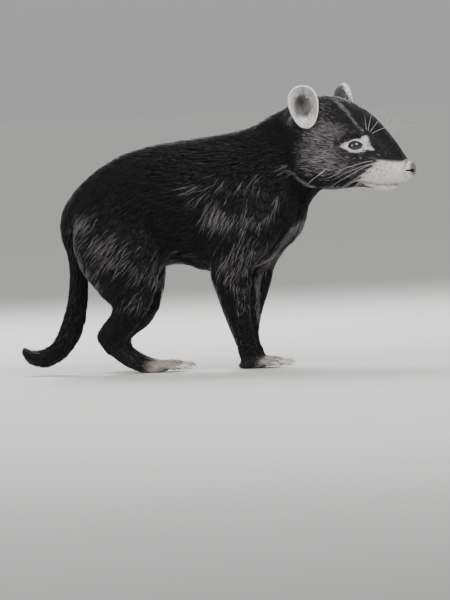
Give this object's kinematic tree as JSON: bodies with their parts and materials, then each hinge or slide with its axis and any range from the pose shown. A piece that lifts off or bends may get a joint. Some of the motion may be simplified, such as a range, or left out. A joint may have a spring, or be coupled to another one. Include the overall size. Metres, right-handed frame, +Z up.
{
  "type": "tasmanian devil",
  "caption": "Life-size Tasmanian devil standing on four feet, its head turned a little to its right, with round ears and a thick tail that curls up at its end.",
  "frame": {"origin": "on the floor, under the middle of the animal's bounding box", "axes": "+X along the body towards the head, +Y to the animal's left side, +Z up"},
  "size_m": [0.5704, 0.1558, 0.3905],
  "materials": {
    "coat": "short dense fur, black with grey tips",
    "paw": "thin pale fur over bare skin, with pale claws",
    "ear": "pale skin with fine white hairs",
    "eye": "wet gloss",
    "nose": "bare, finely grained, moist skin"
  },
  "bodies": {
    "root": {"head": "coat", "nose": "nose", "neck": "coat", "torso": "coat", "tail_root": "coat", "tail_middle": "coat", "tail_tip": "coat", "ear_left": "ear", "ear_right": "ear", "eye_left": "eye", "eye_right": "eye", "upper_arm_left": "coat", "upper_arm_right": "coat", "forearm_left": "coat", "forearm_right": "coat", "forepaw_left": "paw", "forepaw_right": "paw", "thigh_left": "coat", "thigh_right": "coat", "shank_left": "coat", "shank_right": "coat", "hindpaw_left": "paw", "hindpaw_right": "paw"}
  },
  "joints": []
}
